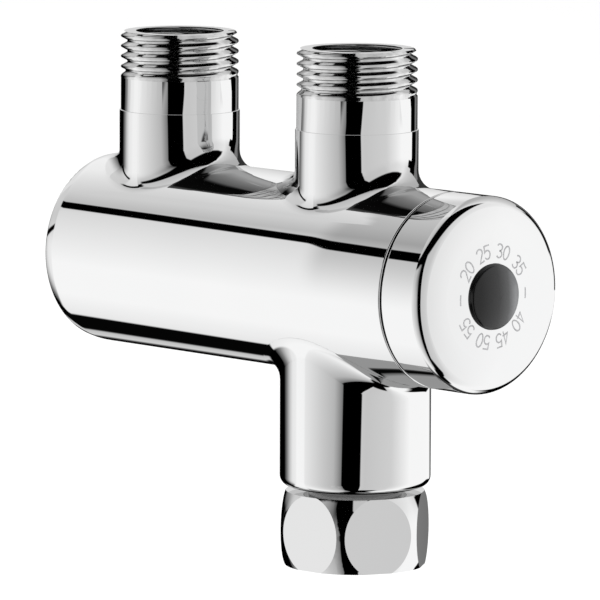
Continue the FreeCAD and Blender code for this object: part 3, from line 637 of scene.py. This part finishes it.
def thread_wall(bm, x, z_low, z_high, radius_at, steps=120, samples=24):
    """Wall of a screw thread, its rows following the helix, between two heights."""
    turns_low = int(math.floor(z_low / PITCH)) - 2
    turns_high = int(math.ceil(z_high / PITCH)) + 1
    heights = []
    for turn in range(turns_low, turns_high + 1):
        heights += [turn + k / samples for k in range(samples)]
    grid = []
    for height in heights:
        row = []
        for i in range(steps + 1):
            share = i / steps
            z = min(max((height + share) * PITCH, z_low), z_high)
            a = 2.0 * math.pi * share
            r = radius_at(z, z / PITCH - share)
            row.append(bm.verts.new((x + r * math.cos(a), r * math.sin(a), z)))
        grid.append(row)
    for low, high in zip(grid, grid[1:]):
        for i in range(steps):
            quad = (low[i], low[i + 1], high[i + 1], high[i])
            if max(v.co.z for v in quad) - min(v.co.z for v in quad) > TOUCH:
                bm.faces.new(quad)


def outer_thread_radius(z, phase):
    """Male thread: chamfered at the rim, running out into the plain shank."""
    start = RIM_Z - THREAD_LENGTH
    run_out = min(max((z - start) / (THREAD_RUN_OUT * PITCH), 0.0), 1.0)
    r = MAJOR_R - thread_depth(phase) * run_out
    return min(r, MAJOR_R - RIM_CHAMFER + (RIM_Z - z))


def cut_plane(bm, z):
    bmesh.ops.bisect_plane(
        bm, geom=bm.verts[:] + bm.edges[:] + bm.faces[:], dist=TOUCH,
        plane_co=(0.0, 0.0, z), plane_no=(0.0, 0.0, 1.0),
    )


def smooth(obj, degrees=35.0):
    """Smooth shading with sharp edges beyond an angle."""
    mesh = obj.data
    limit = math.radians(degrees)
    bm = bmesh.new()
    bm.from_mesh(mesh)
    bmesh.ops.remove_doubles(bm, verts=bm.verts[:], dist=WELD)
    for face in bm.faces:
        face.smooth = True
    for edge in bm.edges:
        sharp = len(edge.link_faces) == 2 and edge.calc_face_angle(0.0) > limit
        edge.smooth = not sharp
    bm.to_mesh(mesh)
    bm.free()
    mesh.update()


def dressed_body(mats):
    """The cast body with real threads cut on both inlets."""
    bm = bmesh.new()
    bm.from_mesh(nodes["valve_body"].data)
    bmesh.ops.remove_doubles(bm, verts=bm.verts[:], dist=TOUCH)
    start = RIM_Z - THREAD_LENGTH
    cut_plane(bm, start)
    gone = []
    for face in bm.faces:
        c = face.calc_center_median()
        if c.z < start:
            continue
        for x in INLET_X:
            outer = all(math.hypot(v.co.x - x, v.co.y) > MINOR_R - ON_WALL for v in face.verts)
            flat = all(v.co.z > RIM_Z - ON_PLANE for v in face.verts)
            if outer and not flat:
                gone.append(face)
                break
    bmesh.ops.delete(bm, geom=gone, context="FACES")
    for x in INLET_X:
        thread_wall(bm, x, start, RIM_Z, outer_thread_radius)
    bmesh.ops.remove_doubles(bm, verts=bm.verts[:], dist=WELD)
    mesh = bpy.data.meshes.new("dressed_body")
    bm.to_mesh(mesh)
    bm.free()
    body = add_object("threaded_body", mesh, "valve", mats["chrome_plate"])
    smooth(body, 30.0)
    body.data.materials.append(mats["thread_chrome"])
    for face in body.data.polygons:
        c = face.center
        beside = min(math.hypot(c.x - x, c.y) for x in INLET_X)
        if start < c.z < RIM_Z - ON_PLANE and beside > MINOR_R - ON_WALL:
            face.material_index = 1
    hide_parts("valve_body")
    return body


def boss_blend(mats):
    """Cast blend between the outlet boss and the barrel, wider on the front and the back."""
    rows = 96
    columns = 14
    bm = bmesh.new()
    grid = []
    for i in range(rows):
        a = 2.0 * math.pi * i / rows
        r = BOSS_BLEND[0] + (BOSS_BLEND[1] - BOSS_BLEND[0]) * math.sin(a) ** 2
        out = BOSS_R + r
        across = out * math.sin(a)
        centre = Vector((out * math.cos(a), across, AXIS_H - math.sqrt((BARREL_R + r) ** 2 - across ** 2)))
        to_boss = Vector((-math.cos(a), -math.sin(a), 0.0))
        to_barrel = Vector((0.0, -centre.y, AXIS_H - centre.z)).normalized()
        span = to_boss.angle(to_barrel)
        row = []
        for k in range(columns + 1):
            share = k / columns
            arm = to_boss * math.sin((1.0 - share) * span) + to_barrel * math.sin(share * span)
            row.append(bm.verts.new(centre + arm * ((r - BLEND_SKIN) / math.sin(span))))
        grid.append(row)
    for i in range(rows):
        low, high = grid[i], grid[(i + 1) % rows]
        for k in range(columns):
            bm.faces.new((low[k], high[k], high[k + 1], low[k + 1]))
    bmesh.ops.recalc_face_normals(bm, faces=bm.faces[:])
    mesh = bpy.data.meshes.new("boss_blend")
    bm.to_mesh(mesh)
    bm.free()
    for face in mesh.polygons:
        face.use_smooth = True
    return add_object("boss_blend", mesh, "valve", mats["chrome_plate"])


# Marks on the cap face

def arc_points(cx, cy, rx, ry, start, end, count=9):
    """Points of an elliptical arc, angles in degrees from the right, counted upwards."""
    points = []
    for i in range(count):
        a = math.radians(start + (end - start) * i / (count - 1))
        points.append((cx + rx * math.cos(a), cy + ry * math.sin(a)))
    return points


def digit_strokes(digit):
    """Strokes of a plain digit in a box 0.56 wide and 1 high."""
    if digit == "0":
        return [arc_points(0.28, 0.5, 0.28, 0.5, 90.0, 450.0, 25)]
    if digit == "2":
        return [arc_points(0.28, 0.72, 0.27, 0.28, 165.0, -35.0, 11) + [(0.0, 0.0), (0.56, 0.0)]]
    if digit == "3":
        top = arc_points(0.26, 0.755, 0.25, 0.245, 150.0, -90.0, 12)
        return [top + arc_points(0.26, 0.255, 0.29, 0.255, 90.0, -150.0, 12)]
    if digit == "4":
        return [[(0.42, 0.0), (0.42, 1.0), (0.0, 0.3), (0.56, 0.3)]]
    top = [(0.52, 1.0), (0.08, 1.0), (0.03, 0.54)]
    return [top + arc_points(0.25, 0.32, 0.31, 0.32, 115.0, -150.0, 13)]


def ribbon(bm, points, width, place):
    """Thin raised strip along a line of flat points, set on the surface by place(u, v, lift)."""
    closed = points[0] == points[-1] or math.dist(points[0], points[-1]) < 1e-9
    rows = []
    last = len(points) - 1
    for i, (u, v) in enumerate(points):
        before = points[i - 1] if i > 0 else (points[last - 1] if closed else points[0])
        after = points[i + 1] if i < last else (points[1] if closed else points[last])
        a = Vector((u - before[0], v - before[1]))
        b = Vector((after[0] - u, after[1] - v))
        a = a.normalized() if a.length > 1e-12 else b.normalized()
        b = b.normalized() if b.length > 1e-12 else a
        run = (a + b).normalized()
        reach = 0.5 * width / max(run.dot(a), 0.5)
        side = Vector((-run.y, run.x)) * reach
        pair = []
        for sign in (1.0, -1.0):
            for lift in (0.0, 1.0):
                pair.append(bm.verts.new(place(u + sign * side.x, v + sign * side.y, lift)))
        rows.append(pair)
    for low, high in zip(rows, rows[1:]):
        for i, j in ((0, 1), (1, 3), (3, 2), (2, 0)):
            bm.faces.new((low[i], low[j], high[j], high[i]))
    if not closed:
        for row in (rows[0], rows[-1]):
            bm.faces.new((row[0], row[2], row[3], row[1]))


def face_place(middle_angle, middle_r):
    """Maps flat marks onto the cap's dome round a point at an angle from the top."""
    dome_x = KNOB_HIGH.x - math.sqrt(CAP_DOME_R ** 2 - CAP_RECESS_R ** 2)

    def place(u, v, lift):
        r = middle_r + v
        a = middle_angle + u / middle_r
        x = dome_x + math.sqrt(CAP_DOME_R ** 2 - r ** 2)
        x += (lift * 2.0 - 1.0) * MARK_LIFT
        return (x, r * math.sin(a), AXIS_H + r * math.cos(a))

    return place


def cap_marks(mats):
    """Ring of plain numbers round the plug, with two dashes between the halves."""
    bm = bmesh.new()
    for middle, numbers in ((0.0, ("20", "25", "30", "35")), (math.pi, ("40", "45", "50", "55"))):
        pair_w = (0.56 * 2.0 + DIGIT_GAP) * DIGIT_H
        total = pair_w * len(numbers) + NUMBER_GAP * (len(numbers) - 1)
        place = face_place(middle, MARK_RING_R)
        for k, number in enumerate(numbers):
            for j, digit in enumerate(number):
                left = -total / 2.0 + k * (pair_w + NUMBER_GAP) + j * (0.56 + DIGIT_GAP) * DIGIT_H
                for stroke in digit_strokes(digit):
                    points = [(left + x * DIGIT_H, (y - 0.5) * DIGIT_H) for x, y in stroke]
                    ribbon(bm, points, STROKE_W, place)
    for middle in (math.pi / 2.0, -math.pi / 2.0):
        dash = [((i / 6.0 - 0.5) * DASH_L, 0.0) for i in range(7)]
        ribbon(bm, dash, STROKE_W, face_place(middle, MARK_RING_R))
    bmesh.ops.recalc_face_normals(bm, faces=bm.faces[:])
    mesh = bpy.data.meshes.new("cap_marks")
    bm.to_mesh(mesh)
    bm.free()
    return add_object("cap_marks", mesh, "knob", mats["etched"])


# Camera and stage

def build_camera():
    az = math.radians(CAMERA_AZ)
    el = math.radians(CAMERA_EL)
    roll = math.radians(CAMERA_ROLL)
    back = Vector((math.sin(az) * math.cos(el), -math.cos(az) * math.cos(el), math.sin(el)))
    side = Vector((math.cos(az), math.sin(az), 0.0))
    top = back.cross(side)
    right = math.cos(roll) * side + math.sin(roll) * top
    up = -math.sin(roll) * side + math.cos(roll) * top
    target = Vector((0.0, 0.0, AXIS_H))
    place = target + back * CAMERA_DIST + right * CAMERA_RIGHT + up * CAMERA_UP
    data = bpy.data.cameras.new("camera")
    data.sensor_width = SENSOR_MM
    data.lens = FOCAL_PX / IMAGE_PX * data.sensor_width
    data.clip_start = 0.05
    data.clip_end = 50.0
    camera = bpy.data.objects.new("camera", data)
    turn = Matrix((right, up, back)).transposed().to_4x4()
    camera.matrix_world = Matrix.Translation(place) @ turn
    bpy.context.scene.collection.objects.link(camera)
    bpy.context.scene.camera = camera


def add_card(name, start, end, level):
    """Dark card far off, between two azimuths, that only polished metal mirrors."""
    low = AXIS_H - CARD_DIST * math.tan(math.radians(CARD_LOW))
    high = AXIS_H + CARD_DIST * math.tan(math.radians(CARD_HIGH))
    bm = bmesh.new()
    corners = []
    for angle, z in ((start, low), (end, low), (end, high), (start, high)):
        a = math.radians(angle)
        corners.append(bm.verts.new((CARD_DIST * math.cos(a), CARD_DIST * math.sin(a), z)))
    bm.faces.new(corners)
    mesh = bpy.data.meshes.new(name)
    bm.to_mesh(mesh)
    bm.free()
    card = bpy.data.objects.new(name, mesh)
    bpy.context.scene.collection.objects.link(card)
    mat = bpy.data.materials.new(name)
    mat.use_nodes = True
    add, link = new_nodes(mat.node_tree)
    path = add("ShaderNodeLightPath")
    twice = math_node(mat.node_tree, "GREATER_THAN", path.outputs["Ray Depth"], CARD_TWICE)
    glow = add("ShaderNodeMapRange")
    link(twice, glow.inputs[0])
    glow.inputs[3].default_value = shown(level)
    glow.inputs[4].default_value = shown(LEVEL_AGAIN)
    light = add("ShaderNodeEmission")
    link(glow.outputs[0], light.inputs["Strength"])
    out = add("ShaderNodeOutputMaterial")
    link(light.outputs[0], out.inputs[0])
    paint(card, mat)
    card.visible_camera = False
    card.visible_diffuse = False
    card.visible_transmission = False
    card.visible_shadow = False


def build_floor():
    """A plain pale floor well below the valve."""
    bm = bmesh.new()
    bmesh.ops.create_grid(bm, x_segments=2, y_segments=2, size=FLOOR_HALF)
    mesh = bpy.data.meshes.new("floor")
    bm.to_mesh(mesh)
    bm.free()
    floor = bpy.data.objects.new("floor", mesh)
    floor.location.z = FLOOR_Z
    bpy.context.scene.collection.objects.link(floor)
    mat, shader = principled("floor_white", (1.0, 1.0, 1.0), 0.0, 0.9)
    tree = mat.node_tree
    tint(mat, shader, noise(tree, 3.0), (0.99, 0.99, 0.99), (1.0, 1.0, 1.0))
    path = tree.nodes.new("ShaderNodeLightPath")
    shader.inputs["Emission Color"].default_value = (1.0, 1.0, 1.0, 1.0)
    own = math_node(tree, "MULTIPLY", path.outputs["Is Camera Ray"], FLOOR_LIFT)
    tree.links.new(own, shader.inputs["Emission Strength"])
    paint(floor, mat)
    floor.visible_glossy = False


def build_lamp():
    """One soft lamp, which polished metal doesn't mirror."""
    lamp = bpy.data.lights.new("softbox", "AREA")
    lamp.shape = "DISK"
    lamp.size = LAMP_SIZE
    lamp.energy = LAMP_ENERGY
    holder = bpy.data.objects.new("softbox", lamp)
    holder.location = LAMP_PLACE
    aim = Vector((0.0, 0.0, AXIS_H)) - holder.location
    holder.rotation_euler = aim.to_track_quat("-Z", "Y").to_euler()
    holder.visible_glossy = False
    bpy.context.scene.collection.objects.link(holder)


def dress_nodes(mats):
    slots = {s["node"]: s["material_slot"] for s in frame["record"]["subparts"]}
    for name, obj in nodes.items():
        paint(obj, mats[slots[name]])
    paint(nodes["control_knob"], mats["cap_chrome"])
    paint(nodes["outlet_tail"], mats["neck_metal"])


def main():
    bpy.context.scene.view_settings.view_transform = "Standard"
    mats = build_materials()
    dress_nodes(mats)
    dressed_body(mats)
    boss_blend(mats)
    cap_marks(mats)
    build_world()
    build_camera()
    build_floor()
    for card in DARK_CARDS:
        add_card(*card)
    build_lamp()


main()
